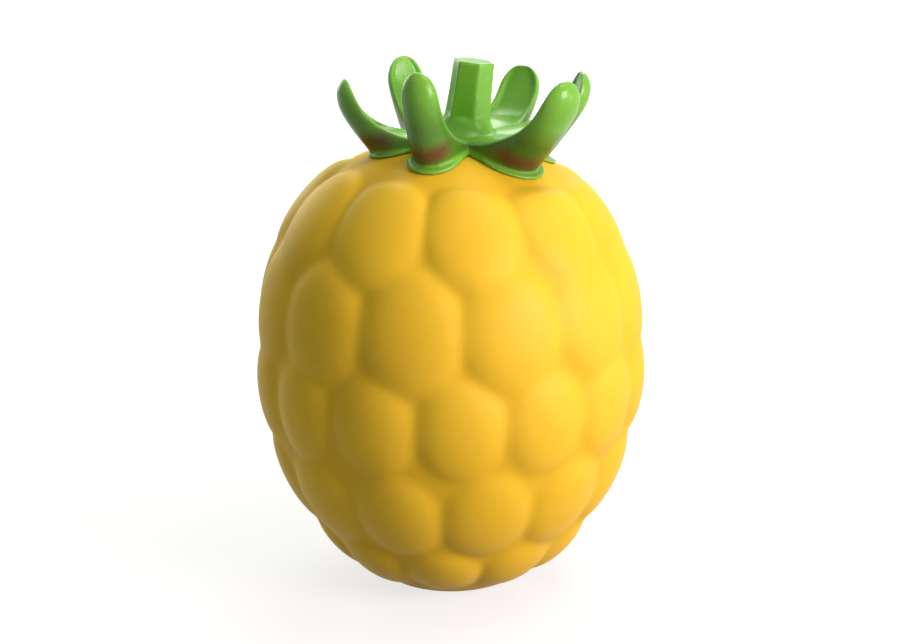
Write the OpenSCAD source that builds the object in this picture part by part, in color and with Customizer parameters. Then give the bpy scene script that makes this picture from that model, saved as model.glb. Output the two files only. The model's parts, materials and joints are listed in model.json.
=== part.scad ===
// Fruit-shaped night light: a moulded bumpy shade with a green leaf crown lifts off a small lamp base.
// Millimetres, +Z up, origin on the table at the centre of the base. The front of the fruit faces -Y.

/* [Fruit body] */
// Widest diameter of the body, over its bumps
body_d = 183; // [150:1:220]
// Height of the body from its foot to the top of its dome
body_h = 208; // [185:1:240]
// Height of the widest point above the foot
belly_h = 103; // [85:1:115]
// How far the bumps stand above the grooves
bump_rise = 3.7; // [2:0.1:6]
// How far the middle of a bump lies below the groove surface
bump_sink = 6.5; // [4:0.5:12]
// Width of a bump against its share of the row
bump_cover = 1.12; // [1.05:0.01:1.25]
// Squareness of the dome, 2 is a plain ellipse
dome_square = 2.42; // [2:0.01:3]
// Squareness of the lower half, 2 is a plain ellipse
foot_square = 1.82; // [1.7:0.01:2.2]
// Width of the flat foot around the mouth
foot_band = 6.5; // [5:0.5:9]
// Thickness of the moulded wall at the grooves
wall = 3; // [2:0.25:4]
// Gap between the foot of the shade and the table
shade_gap = 1; // [0.5:0.1:2]

/* [Leaf crown] */
// Sideways offset of the crown from the middle of the dome
crown_x = 8; // [0:0.5:10]
// Width of a middling leaf near its root
leaf_w = 25; // [20:0.5:30]
// Thickness of a leaf, which swells towards its root and thins towards its tip
leaf_t = 14; // [10:0.5:17]
// Thickness of the thin skirt that joins the leaves
skirt_t = 2.2; // [1.5:0.1:3]
// How far the skirt reaches past the root of a leaf
skirt_reach = 2; // [1:0.5:4]
// Height of the cut stalk above the dome
stalk_h = 37; // [30:1:45]
// Width of the stalk at its cut end, over its corners
stalk_d = 19; // [15:0.5:22]
// Width of the stalk at its foot, over its corners
stalk_foot_d = 22; // [18:0.5:26]
// Lean of the stalk
stalk_lean = 7.5; // [0:0.5:10]
// Diameter of the spigot that plugs the crown into the shade
spigot_d = 16; // [12:0.5:20]

/* [Lamp base] */
// Width of the channel between the battery tube and the base wall
channel_w = 6.7; // [6.2:0.1:9]
// Thickness of the base floor
floor_t = 4; // [3.5:0.25:5]
// Height of the wall around the base
base_wall_h = 11; // [9:0.5:14]
// Thickness of the base wall
base_wall = 2; // [1.5:0.25:2.5]
// Width of the lip that the shade rests on
lip_w = 2; // [1.5:0.25:2.5]
// Thickness of that lip
lip_t = 1.2; // [1:0.1:2]
// Gap between the base plate and the table
foot_gap = 1.2; // [1:0.1:2]
// Thickness of the mouth ring's sleeve
ring_wall = 2.4; // [2:0.1:3]
// Thickness of the mouth ring's flange
ring_flange_t = 2; // [1.5:0.25:3]

/* [Lamp column] */
// Wall of the battery tube
tube_wall = 1.8; // [1.5:0.1:2.2]
// Thickness of the plate on top of the tube
head_t = 2.5; // [2:0.25:3.5]
// Thickness of the light board
led_board_t = 1.6; // [1:0.2:2]
// Height of the opal diffuser above the light board's seat
diffuser_h = 46; // [40:1:55]
// Wall of the diffuser
diffuser_wall = 1.6; // [1.2:0.1:2]

/* [Battery and switch] */
// Diameter of a battery cell
cell_d = 10.5; // [9.5:0.1:14.5]
// Length of a battery cell
cell_l = 44.5; // [40:0.1:50]
// Thickness of the carrier's end plates
carrier_t = 1.6; // [1.2:0.1:2]
// Free space for the small springs under the cells
cell_spring_h = 3; // [2:0.25:4]
// Turn of the battery cap between locked and free
cap_turn = 60; // [45:5:75]
// Diameter of the power button
button_d = 4.6; // [4:0.1:4.8]
// Travel of the power button
button_travel = 0.8; // [0.4:0.1:1]

/* [Hidden] */
// Clearances
slip = 0.3;
fit_gap = 0.15;
screw_gap = 0.05;
overrun = 1;

// Resolution of round shapes and of the sculpted skins
$fn = 96;
skin_around = 104;
skin_rows = 52;
leaf_rings = 14;
leaf_sides = 16;

// Rows of bumps: latitude seen from the belly's centre, count, turn of the first bump from the front,
// half height and fullness
bump_rows = [
    [49, 10, 9, 28, 0.9],
    [23.5, 12, 18.5, 30, 1],
    [-3, 14, 2.7, 27, 1],
    [-33, 12, 11.5, 28, 1],
    [-57, 10, -4.6, 22, 1]];
bump_blend = 0.7;
bump_view = 40;
bump_fade = 4;

// Leaves: compass angle, root radius, tip radius, tip height above the dome, share of the width
leaves = [
    [10, 40, 54, 30, 0.96],
    [59, 44, 55, 28, 1.06],
    [124, 44, 50, 34, 0.96],
    [190, 42, 53, 31, 0.96],
    [244, 42, 45.5, 38, 0.86],
    [313, 42, 62, 34, 1.14]];
leaf_tip_from = 0.78;

// Battery pack and its tube
cluster_r = cell_d / sqrt(3);
carrier_rim = 1.9;
carrier_r = cluster_r + cell_d / 2 + carrier_rim;
bore_r = carrier_r + slip;
tube_r = bore_r + tube_wall;

// Base plate and mouth ring
floor_z = foot_gap + floor_t;
base_r = tube_r + channel_w + base_wall;
ring_in_r = base_r + slip;
ring_out_r = ring_in_r + ring_wall;
mouth_r = ring_out_r + fit_gap;
ring_foot_z = foot_gap + lip_t;
shell_floor_z = shade_gap + wall;
lip_r = base_r + lip_w;
foot_r = mouth_r + foot_band;

// Body, seen from the belly's centre
core_r = body_d / 2 - bump_rise;
belly_z = shade_gap + belly_h;
dome_z = shade_gap + body_h;
dome_b = body_h - belly_h;
foot_b = belly_h / squared(foot_r / core_r, foot_square);
ring_flange_r = hollow_at(shell_floor_z) - slip;

// Crown
crown_seat = 0.2;
leaf_seat = 0.6;
crown_reach = max([for (leaf = leaves) leaf[1]]) + skirt_reach + 1;
washer_r = spigot_d / 2 + 6;
seat_flat_r = crown_x + washer_r + 1;
seat_z = belly_z + (dome_b - wall) * squared(seat_flat_r / (core_r - wall), dome_square);
washer_t = 1.2;
crown_screw_r = 2;
crown_screw_l = 11;
crown_screw_head_r = 4;
crown_screw_head_h = 2.4;
flare_h = 9;
flare_spread = 8;
flare_r = stalk_foot_d / 2 + flare_spread;

// Lamp column
ring_of_fittings = tube_r + channel_w / 2;
ear_r = channel_w / 2 - slip;
ear_h = 6;
rib_w = 4;
lug_z = floor_z + fit_gap;
lug_t = 2;
cap_top_z = lug_z + lug_t;
push_spring_h = 3;
push_spring_r = 7;
push_wire_d = 0.7;
carrier_z = cap_top_z + push_spring_h;
cell_z = carrier_z + carrier_t + cell_spring_h;
carrier_top_z = cell_z + cell_l;
contact_t = 0.8;
contact_z = carrier_top_z + carrier_t;
head_z = contact_z + contact_t;
head_r = base_r - 1;
led_board_r = head_r - diffuser_wall - 0.9;
led_seat_z = head_z + head_t;
led_top_z = led_seat_z + led_board_t;

// Battery cap
cap_r = bore_r + 0.5;
cap_head_t = 2;
cap_recess = cap_head_t + 0.2;
hub_r = bore_r - 2.6;
hub_hole_r = hub_r + fit_gap;
lug_r = bore_r - 0.6;
lug_w = 5;
coin_w = 2.2;
coin_l = 20;
coin_depth = 1.4;
groove_r = 0.6;
groove_at = hub_r - 0.2;
seal_r = 0.42;
seal_at = hub_hole_r - seal_r - 0.07;

// Feet, screws, button and switch
foot_pad_r = channel_w / 2 + 0.25;
foot_pad_recess = 1;
foot_angles = [0, 120, 240];
screw_angles = [40, 160, 280];
base_screw_r = 1.3;
base_screw_l = 7;
base_screw_head_r = 2.4;
base_screw_head_h = 1.7;
button_angle = 80;
button_hole_r = button_d / 2 + fit_gap;
button_collar_r = button_d / 2 + 0.8;
button_collar_t = 0.9;
button_foot_z = foot_gap - 0.2;
button_top_z = floor_z + slip + button_collar_t;
plunger_r = 1.6;
switch_w = channel_w - 0.7;
switch_h = 3.6;
switch_z = button_top_z + button_travel + 0.4;
board_z = switch_z + switch_h;
board_t = 1.2;
board_l = 17;
post_r = 1.7;
post_turn = 19;
board_screw_r = 0.9;
board_screw_l = 5;
board_screw_head_r = 1.6;
board_screw_head_h = 1.1;
lead_r = 0.7;
lead_reach = 1.6;
led_screw_reach = led_board_r - 3;
led_screw_r = 1.1;
led_screw_l = 3.4;
led_screw_head_r = 2.1;
led_screw_head_h = 1.5;
led_inset = 7;
led_ring_r = led_board_r - led_inset;
led_count = 6;
led_size = [3.5, 2.8, 0.8];

// Distance from the belly's centre to the groove surface at a latitude
function core_reach(lat) =
    let (b = lat > 0 ? dome_b : foot_b, e = lat > 0 ? dome_square : foot_square)
    pow(pow(abs(cos(lat)) / core_r, e) + pow(abs(sin(lat)) / b, e), -1 / e);

// Point of the groove surface in the plane of the axis: [radius, height]
function core_point(lat) = [core_reach(lat) * cos(lat), belly_z + core_reach(lat) * sin(lat)];

// The other side of a squared ellipse of unit size: where one side is at x, the other is at squared(x)
function squared(x, e) = pow(max(0, 1 - pow(min(abs(x), 1), e)), 1 / e);

// Height of the plain dome at a radius from the axis
function dome_at(r) = belly_z + dome_b * squared(r / core_r, dome_square);

// Radius of the hollow inside the shade at a height
function hollow_at(z) =
    let (b = (z > belly_z ? dome_b : foot_b) - wall, e = z > belly_z ? dome_square : foot_square)
    (core_r - wall) * squared((z - belly_z) / b, e);

// Direction at a latitude and a turn from the front, and the level direction across it
function out_dir(lat, turn) = [cos(lat) * sin(turn), -cos(lat) * cos(turn), sin(lat)];
function across(turn) = [cos(turn), sin(turn), 0];

// One bump: its centre, its across, up and out directions over its half sizes, and its direction
function bump(row, k) =
    let (lat = row[0], turn = row[2] + k * 360 / row[1],
        p = core_point(lat), q = core_point(lat + 1) - core_point(lat - 1),
        rise = atan2(-q[0], q[1]),
        out = out_dir(rise, turn), side = across(turn), up = cross(out, side) * -1,
        half_across = bump_cover * 180 / row[1] * (PI / 180) * p[0])
    [[p[0] * sin(turn), -p[0] * cos(turn), p[1] - belly_z] - bump_sink * out,
        side / half_across, up / row[3], out / (bump_rise * row[4] + bump_sink), out_dir(lat, turn)];

// Every bump of every row
function all_bumps() = [for (row = bump_rows) for (k = [0 : row[1] - 1]) bump(row, k)];

// How far a ray from the belly's centre reaches to the far side of a bump, or 0 if it misses
function bump_reach(d, b) =
    let (u = [d * b[1], d * b[2], d * b[3]], w = -[b[0] * b[1], b[0] * b[2], b[0] * b[3]],
        half = u * w, rest = half * half - (u * u) * (w * w - 1))
    rest < 0 ? 0 : (sqrt(rest) - half) / (u * u);

// Share of the bumps' height that is left near the crown, which sits on the plain dome
function bump_share(lat, p) =
    let (away = norm([p[0] - crown_x, p[1]]) - crown_reach, t = min(1, max(0, away / bump_fade)))
    lat < 0 ? 1 : t * t * (3 - 2 * t);

// Distance to the skin: groove surface and bumps, blended softly where they meet
function skin_reach(lat, turn, bumps) =
    let (d = out_dir(lat, turn), near = cos(bump_view), core = core_reach(lat),
        hits = [for (b = bumps) if (d * b[4] > near) let (r = bump_reach(d, b)) if (r > core - 4) r],
        rise = ln(1 + sum([for (r = hits) exp((r - core) / bump_blend)])) * bump_blend)
    core + rise * bump_share(lat, core * d);

function sum(list, k = 0) = k >= len(list) ? 0 : list[k] + sum(list, k + 1);

// A closed skin through rings of points, from a first single point to a last one
module skin_of_rings(first, rings, last) {
    n = len(rings[0]);
    count = len(rings);
    points = concat([first], [for (ring = rings) each ring], [last]);
    end = len(points) - 1;
    faces = concat(
        [for (i = [0 : n - 1]) [0, 1 + i, 1 + (i + 1) % n]],
        [for (j = [0 : count - 2]) for (i = [0 : n - 1])
            let (a = 1 + j * n + i, b = 1 + j * n + (i + 1) % n) each [[a, a + n, b], [b, a + n, b + n]]],
        [for (i = [0 : n - 1]) [end, end - n + (i + 1) % n, end - n + i]]);
    polyhedron(points, faces);
}

// The whole fruit as one solid, before it is hollowed
module fruit_solid() {
    bumps = all_bumps();
    step = 180 / skin_rows;
    function skin_point(lat, turn) =
        [0, 0, belly_z] + skin_reach(lat, turn, bumps) * out_dir(lat, turn);
    skin_of_rings(
        [0, 0, dome_z],
        [for (j = [1 : skin_rows - 1]) [for (i = [0 : skin_around - 1])
            skin_point(90 - j * step, -i * 360 / skin_around)]],
        [0, 0, belly_z - foot_b]);
}

// The smooth hollow inside the shade, from its floor up to the flat seat under the crown
module fruit_hollow() {
    steps = 26;
    middle = (shell_floor_z + seat_z) / 2;
    outline = [for (i = [0 : steps])
        let (z = middle - (seat_z - middle) * cos(180 * i / steps))
        [hollow_at(z), z]];
    rotate_extrude()
        polygon(concat([[0, shell_floor_z]], outline, [[0, seat_z]]));
}

// Moulded vinyl shade
module fruit_shell() {
    color([0.93, 0.68, 0.12])
    difference() {
        fruit_solid();
        fruit_hollow();
        translate([0, 0, shade_gap - body_h])
            cylinder(h = body_h, r = body_d);
        translate([0, 0, -overrun])
            cylinder(h = shell_floor_z + 2 * overrun, r = mouth_r);
        translate([crown_x, 0, seat_z - overrun])
            cylinder(h = dome_z - seat_z + 2 * overrun, r = spigot_d / 2 + fit_gap);
    }
}

// Smooth cubic from a to d that leaves towards b and arrives from c
function cubic(a, b, c, d, s) =
    pow(1 - s, 3) * a + 3 * s * pow(1 - s, 2) * b + 3 * s * s * (1 - s) * c + s * s * s * d;
function cubic_way(a, b, c, d, s) =
    3 * pow(1 - s, 2) * (b - a) + 6 * s * (1 - s) * (c - b) + 3 * s * s * (d - c);

// Flat face of a leaf in its own upright plane: it runs out over the dome and then turns up
function leaf_controls(leaf) =
    let (root = leaf[1], tip = leaf[2], top = leaf[3])
    [[stalk_foot_d / 4, 2], [root * 0.77, 0.5], [tip - 3, top * 0.36], [tip, top]];

// Places along a leaf: even at first, closer together where the tip rounds off
function leaf_stop(j) =
    let (even = leaf_rings - 5)
    j <= even ? leaf_tip_from * j / even : leaf_tip_from + (1 - leaf_tip_from) * sin(18 * (j - even) - 6);

// Share of the full width that is left at s, rounded off at the tip
function leaf_round(s) =
    s < leaf_tip_from ? 1 : sqrt(max(0, 1 - pow((s - leaf_tip_from) / (1 - leaf_tip_from), 2.3)));

// How far a leaf swells towards its root, from 1 to 0
function leaf_swell(s) = 1 / (1 + pow(s / 0.5, 6));

// Point k of a leaf's cross-section at s: flat towards the stalk, round on the back
function leaf_point(leaf, s, k) =
    let (c = leaf_controls(leaf), p = cubic(c[0], c[1], c[2], c[3], s),
        w = cubic_way(c[0], c[1], c[2], c[3], s), way = w / norm(w),
        turn = k * 360 / leaf_sides, share = leaf_round(s),
        side = leaf_w * leaf[4] / 2 * (0.8 + 0.26 * leaf_swell(s)) * share * cos(turn),
        back = leaf_t * (0.52 + 0.9 * leaf_swell(s)),
        deep = (sin(turn) < 0 ? back : leaf_t * 0.06) * share * sin(turn),
        r = p[0] - way[1] * deep, z = p[1] + way[0] * deep,
        x = crown_x + r * cos(leaf[0]) - side * sin(leaf[0]),
        y = r * sin(leaf[0]) + side * cos(leaf[0]))
    [x, y, max(dome_z + z, dome_at(norm([x, y])) + leaf_seat)];

// One plump leaf
module leaf(spec) {
    c = leaf_controls(spec);
    tip = spec[2];
    skin_of_rings(
        leaf_point(spec, 0, 0) * 0.5 + leaf_point(spec, 0, leaf_sides / 2) * 0.5,
        [for (j = [0 : leaf_rings]) [for (k = [0 : leaf_sides - 1])
            leaf_point(spec, leaf_stop(j), k)]],
        [crown_x + tip * cos(spec[0]), tip * sin(spec[0]), dome_z + spec[3]]);
}

// Plan of the lobe under one leaf, along X
module skirt_lobe(root, half) {
    translate([root + skirt_reach - half, 0]) {
        circle(r = half);
        translate([-root / 2, -half])
            square([root / 2, 2 * half]);
    }
}

// Plan of the skirt: a round middle with a lobe under each leaf
module skirt_plan() {
    translate([crown_x, 0]) {
        circle(r = flare_r + 1);
        for (leaf = leaves)
            rotate(leaf[0])
                skirt_lobe(leaf[1], (leaf_w * leaf[4] + skirt_reach) / 2);
    }
}

// Layer of even thickness that lies on the dome
module dome_layer(gap, thickness, reach) {
    steps = 14;
    rotate_extrude()
        polygon(concat(
            [for (i = [0 : steps]) let (r = reach * i / steps) [r, dome_at(r) + gap]],
            [for (i = [0 : steps]) let (r = reach * (1 - i / steps)) [r, dome_at(r) + gap + thickness]]));
}

// Green crown: leaves, cut stalk, skirt and the spigot that plugs it into the shade
module leaf_crown() {
    color([0.36, 0.68, 0.16])
    difference() {
        union() {
            for (spec = leaves)
                leaf(spec);
            intersection() {
                dome_layer(crown_seat, skirt_t, crown_reach + crown_x + overrun);
                translate([0, 0, belly_z])
                    linear_extrude(dome_b + skirt_t + overrun)
                        skirt_plan();
            }
            translate([crown_x, 0, dome_z + skirt_t / 2])
                rotate([0, stalk_lean, 0]) {
                    rotate(45)
                        cylinder(h = stalk_h - skirt_t / 2, d1 = stalk_foot_d, d2 = stalk_d, $fn = 6);
                    cylinder(h = flare_h, r1 = flare_r, r2 = stalk_foot_d / 2 - 1.5);
                }
            translate([crown_x, 0, seat_z])
                cylinder(h = dome_z - seat_z + skirt_t / 2, r = spigot_d / 2);
        }
        translate([crown_x, 0, seat_z - overrun])
            cylinder(h = crown_screw_l - washer_t + 1.5 * overrun, r = crown_screw_r + screw_gap);
    }
}

// Wide washer under the dome
module crown_washer() {
    color("silver")
    translate([crown_x, 0, seat_z - washer_t])
        difference() {
            cylinder(h = washer_t, r = washer_r);
            translate([0, 0, -overrun])
                cylinder(h = washer_t + 2 * overrun, r = crown_screw_r + 2 * screw_gap);
        }
}

// Pan-head screw with its point up, seated at z = 0
module screw_up(r, length, head_r, head_h) {
    difference() {
        union() {
            cylinder(h = length, r = r);
            translate([0, 0, -head_h])
                cylinder(h = head_h, r = head_r);
        }
        for (turn = [0, 90])
            rotate(turn)
                translate([-head_r * 0.6, -head_r * 0.13, -head_h - overrun])
                    cube([head_r * 1.2, head_r * 0.26, head_h * 0.55 + overrun]);
    }
}

// Screw that pulls the crown down on to the shade
module crown_screw() {
    color("silver")
    translate([crown_x, 0, seat_z - washer_t])
        screw_up(crown_screw_r, crown_screw_l, crown_screw_head_r, crown_screw_head_h);
}

// Stiff ring bonded into the mouth of the shade
module mouth_ring() {
    color([0.92, 0.92, 0.9])
    difference() {
        union() {
            translate([0, 0, ring_foot_z])
                cylinder(h = shell_floor_z + ring_flange_t - ring_foot_z, r = ring_out_r);
            translate([0, 0, shell_floor_z])
                cylinder(h = ring_flange_t, r = ring_flange_r);
        }
        translate([0, 0, -overrun])
            cylinder(h = shell_floor_z + ring_flange_t + 2 * overrun, r = ring_in_r);
    }
}

// Places its children on the ring of fittings at an angle
module at_fitting(angle, z = 0) {
    rotate(angle)
        translate([ring_of_fittings, 0, z])
            children();
}

// Base of the lamp, with the seats for everything that it carries
module base_plate() {
    color([0.92, 0.92, 0.9])
    difference() {
        union() {
            translate([0, 0, foot_gap])
                cylinder(h = floor_t, r = base_r);
            translate([0, 0, foot_gap])
                cylinder(h = lip_t, r = lip_r);
            translate([0, 0, floor_z - overrun])
                difference() {
                    cylinder(h = base_wall_h + overrun, r = base_r);
                    translate([0, 0, -overrun])
                        cylinder(h = base_wall_h + 3 * overrun, r = base_r - base_wall);
                }
            for (side = [-1, 1])
                at_fitting(button_angle + side * post_turn, floor_z - overrun)
                    cylinder(h = board_z - floor_z + overrun, r = post_r);
        }
        translate([0, 0, -overrun])
            cylinder(h = floor_z + 2 * overrun, r = hub_hole_r);
        translate([0, 0, foot_gap - overrun])
            cylinder(h = cap_recess + overrun, r = cap_r + slip);
        rotate(cap_turn)
            for (side = [0, 180])
                rotate(side)
                    translate([0, -lug_w / 2 - slip, -overrun])
                        cube([lug_r + slip, lug_w + 2 * slip, floor_z + 2 * overrun]);
        for (angle = foot_angles)
            at_fitting(angle, foot_gap - overrun)
                cylinder(h = foot_pad_recess + overrun, r = foot_pad_r + fit_gap);
        for (angle = screw_angles) {
            at_fitting(angle, -overrun)
                cylinder(h = floor_z + 2 * overrun, r = base_screw_r + fit_gap);
            at_fitting(angle, foot_gap - overrun)
                cylinder(h = base_screw_head_h + 0.2 + overrun, r = base_screw_head_r + slip);
        }
        at_fitting(button_angle, -overrun)
            cylinder(h = floor_z + 2 * overrun, r = button_hole_r);
        for (side = [-1, 1])
            at_fitting(button_angle + side * post_turn, board_z + board_t - board_screw_l - fit_gap)
                cylinder(h = board_screw_l + overrun, r = board_screw_r + screw_gap);
    }
}

// Soft pads that the lamp stands on
module rubber_feet() {
    color([0.2, 0.2, 0.2])
    for (angle = foot_angles)
        at_fitting(angle)
            cylinder(h = foot_gap + foot_pad_recess, r = foot_pad_r);
}

// Screws that hold the column to the base
module base_screws() {
    color("silver")
    for (angle = screw_angles)
        at_fitting(angle, foot_gap + base_screw_head_h + 0.2)
            screw_up(base_screw_r, base_screw_l, base_screw_head_r, base_screw_head_h);
}

// Battery tube with screw ears at its foot and the head plate for the light board
module lamp_column() {
    color([0.95, 0.95, 0.93])
    difference() {
        union() {
            translate([0, 0, floor_z])
                cylinder(h = led_seat_z - floor_z, r = tube_r);
            for (angle = screw_angles)
                at_fitting(angle, floor_z)
                    cylinder(h = ear_h, r = ear_r);
            for (angle = screw_angles)
                rotate(angle)
                    translate([tube_r - tube_wall / 2, -rib_w / 2, floor_z])
                        cube([ring_of_fittings - tube_r + tube_wall / 2, rib_w, ear_h]);
            translate([0, 0, head_z])
                cylinder(h = head_t, r = head_r);
        }
        translate([0, 0, floor_z - overrun])
            cylinder(h = head_z - floor_z + overrun, r = bore_r);
        for (angle = screw_angles)
            at_fitting(angle, floor_z - overrun)
                cylinder(h = base_screw_l + overrun, r = base_screw_r + screw_gap);
        for (side = [-1, 1])
            at_fitting(button_angle, head_z - overrun)
                translate([0, side * lead_reach, 0])
                    cylinder(h = head_t + 2 * overrun, r = lead_r + fit_gap);
        for (side = [-1, 1])
            translate([side * led_screw_reach, 0, head_z - overrun])
                cylinder(h = head_t + 2 * overrun, r = led_screw_r + screw_gap);
    }
}

// Small circuit board that carries the switch
module switch_board() {
    color([0.1, 0.4, 0.2])
    difference() {
        intersection() {
            translate([0, 0, board_z])
                cylinder(h = board_t, r = base_r - base_wall - slip);
            rotate(button_angle)
                translate([0, -board_l / 2, board_z])
                    cube([base_r, board_l, board_t]);
        }
        translate([0, 0, board_z - overrun])
            cylinder(h = board_t + 2 * overrun, r = tube_r + slip);
        for (side = [-1, 1])
            at_fitting(button_angle + side * post_turn, board_z - overrun)
                cylinder(h = board_t + 2 * overrun, r = board_screw_r + 2 * screw_gap);
    }
}

// Screws that hold the switch board on its posts
module board_screws() {
    color("silver")
    for (side = [-1, 1])
        at_fitting(button_angle + side * post_turn, board_z + board_t)
            mirror([0, 0, 1])
                screw_up(board_screw_r, board_screw_l, board_screw_head_r, board_screw_head_h);
}

// Push switch under the board
module switch_body() {
    color([0.15, 0.15, 0.15])
    at_fitting(button_angle, switch_z)
        difference() {
            translate([-switch_w / 2, -switch_w / 2, 0])
                cube([switch_w, switch_w, switch_h]);
            translate([0, 0, -overrun])
                cylinder(h = switch_h - 0.8 + overrun, r = plunger_r + fit_gap);
        }
}

// One of the two leads from the switch board up to the light board
module switch_lead(side) {
    at_fitting(button_angle, board_z + board_t)
        translate([0, side * lead_reach, 0])
            cylinder(h = led_seat_z - board_z - board_t, r = lead_r);
}

// Places its children at each battery cell
module at_cell(k) {
    rotate(k * 120 + 30)
        translate([cluster_r, 0, 0])
            children();
}

// Frame that holds the cells as one pack
module battery_carrier() {
    color([0.12, 0.12, 0.13])
    difference() {
        union() {
            translate([0, 0, carrier_z])
                cylinder(h = carrier_t, r = carrier_r);
            translate([0, 0, carrier_top_z])
                cylinder(h = carrier_t, r = carrier_r);
            for (k = [0 : 2])
                rotate(k * 120 + 90)
                    translate([carrier_r - 2.2, -1.5, carrier_z])
                        cube([1.6, 3, contact_z - carrier_z]);
        }
        for (k = [0 : 2])
            translate([0, 0, carrier_top_z - overrun])
                at_cell(k)
                    cylinder(h = carrier_t + 2 * overrun, r = 2.2);
    }
}

// One battery cell with its raised button end
module battery_cell(k) {
    color([0.2, 0.45, 0.7])
    at_cell(k) {
        translate([0, 0, cell_z])
            cylinder(h = cell_l - 0.2, r = cell_d / 2 - 0.05);
        translate([0, 0, cell_z + cell_l - 0.4])
            cylinder(h = 0.4 + carrier_t, r = 1.9);
    }
}

// Round wire wound into a spring of separate flat turns joined by a post
module coil_spring(r, height, turns, wire) {
    pitch = (height - wire) / turns;
    for (k = [0 : turns])
        translate([0, 0, k * pitch])
            difference() {
                cylinder(h = wire, r = r);
                translate([0, 0, -overrun])
                    cylinder(h = wire + 2 * overrun, r = r - wire);
            }
    for (k = [0 : turns - 1])
        rotate(k * 180)
            translate([r - wire, -wire / 2, k * pitch])
                cube([wire, wire, pitch + wire]);
}

// Springs that press the cells against the far contacts
module cell_springs() {
    color("silver")
    for (k = [0 : 2])
        translate([0, 0, carrier_z + carrier_t])
            at_cell(k)
                coil_spring(2.8, cell_spring_h, 3, 0.5);
}

// Metal contact pads under the head plate, one above each cell
module battery_contacts() {
    color([0.85, 0.7, 0.35])
    for (k = [0 : 2])
        translate([0, 0, contact_z])
            at_cell(k)
                cylinder(h = contact_t, r = 3.2);
}

// Round light board
module led_board() {
    color([0.94, 0.94, 0.94])
    translate([0, 0, led_seat_z])
        difference() {
            cylinder(h = led_board_t, r = led_board_r);
            for (side = [-1, 1])
                translate([side * led_screw_reach, 0, -overrun])
                    cylinder(h = led_board_t + 2 * overrun, r = led_screw_r + 2 * screw_gap);
        }
}

// Light-emitting chips
module led_chips() {
    color([0.98, 0.85, 0.35])
    translate([0, 0, led_top_z])
        for (k = [0 : led_count - 1])
            rotate((k + 0.5) * 360 / led_count)
                translate([led_ring_r - led_size[0] / 2, -led_size[1] / 2, 0])
                    cube(led_size);
}

// Screws that hold the light board
module led_screws() {
    color("silver")
    for (side = [-1, 1])
        translate([side * led_screw_reach, 0, led_top_z])
            mirror([0, 0, 1])
                screw_up(led_screw_r, led_screw_l, led_screw_head_r, led_screw_head_h);
}

// Outline of the diffuser: a short straight skirt and a round top
function diffuser_outline(r, h, skirt) =
    concat([[r, 0], [r, skirt]], [for (i = [1 : 12]) [r * cos(i * 7.5), skirt + (h - skirt) * sin(i * 7.5)]]);

// Opal dome over the light board
module diffuser() {
    skirt = 10;
    r = head_r;
    color([0.97, 0.96, 0.9])
    translate([0, 0, led_seat_z])
        rotate_extrude()
            difference() {
                polygon(concat([[0, 0]], diffuser_outline(r, diffuser_h, skirt)));
                polygon(concat([[0, -overrun], [r - diffuser_wall, -overrun]],
                    diffuser_outline(r - diffuser_wall, diffuser_h - diffuser_wall, skirt)));
            }
}

// Cap that closes the battery tube, turned with a coin
module battery_cap() {
    color([0.86, 0.86, 0.84])
    difference() {
        union() {
            translate([0, 0, foot_gap])
                cylinder(h = cap_head_t, r = cap_r);
            translate([0, 0, foot_gap])
                cylinder(h = cap_top_z - foot_gap, r = hub_r);
            for (side = [0, 180])
                rotate(side)
                    translate([0, -lug_w / 2, lug_z])
                        cube([lug_r, lug_w, lug_t]);
        }
        translate([-coin_l / 2, -coin_w / 2, foot_gap - overrun])
            cube([coin_l, coin_w, coin_depth + overrun]);
        translate([0, 0, foot_gap + cap_head_t + groove_r])
            rotate_extrude()
                translate([groove_at, 0])
                    circle(r = groove_r, $fn = 24);
    }
}

// Spring that pushes the battery pack up against its contacts
module cap_spring() {
    color("silver")
    translate([0, 0, cap_top_z])
        coil_spring(push_spring_r, push_spring_h - fit_gap, 3, push_wire_d);
}

// Seal ring in the groove of the cap
module cap_seal() {
    color([0.75, 0.2, 0.15])
    translate([0, 0, foot_gap + cap_head_t + groove_r])
        rotate_extrude()
            translate([seal_at, 0])
                circle(r = seal_r, $fn = 24);
}

// Power button in the base floor
module power_button() {
    color([0.9, 0.45, 0.1])
    at_fitting(button_angle) {
        translate([0, 0, button_foot_z])
            cylinder(h = button_top_z - button_foot_z, r = button_d / 2);
        translate([0, 0, button_top_z - button_collar_t])
            cylinder(h = button_collar_t, r = button_collar_r);
    }
}

// Plunger of the switch, which the button carries up
module switch_plunger() {
    color([0.95, 0.95, 0.95])
    at_fitting(button_angle, button_top_z)
        cylinder(h = switch_z - button_top_z + 1.2, r = plunger_r);
}

fruit_shell();
leaf_crown();
crown_washer();
crown_screw();
mouth_ring();
base_plate();
rubber_feet();
base_screws();
lamp_column();
switch_board();
board_screws();
switch_body();
color([0.75, 0.1, 0.1]) switch_lead(1);  // switch_lead_red
color([0.1, 0.1, 0.1]) switch_lead(-1);  // switch_lead_black
battery_carrier();
battery_cell(0);  // battery_cell_1
battery_cell(1);  // battery_cell_2
battery_cell(2);  // battery_cell_3
cell_springs();
battery_contacts();
led_board();
led_chips();
led_screws();
diffuser();
battery_cap();
cap_spring();
cap_seal();
power_button();
switch_plunger();
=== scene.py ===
import json
import math

import bpy
from mathutils import Matrix, Vector


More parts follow.
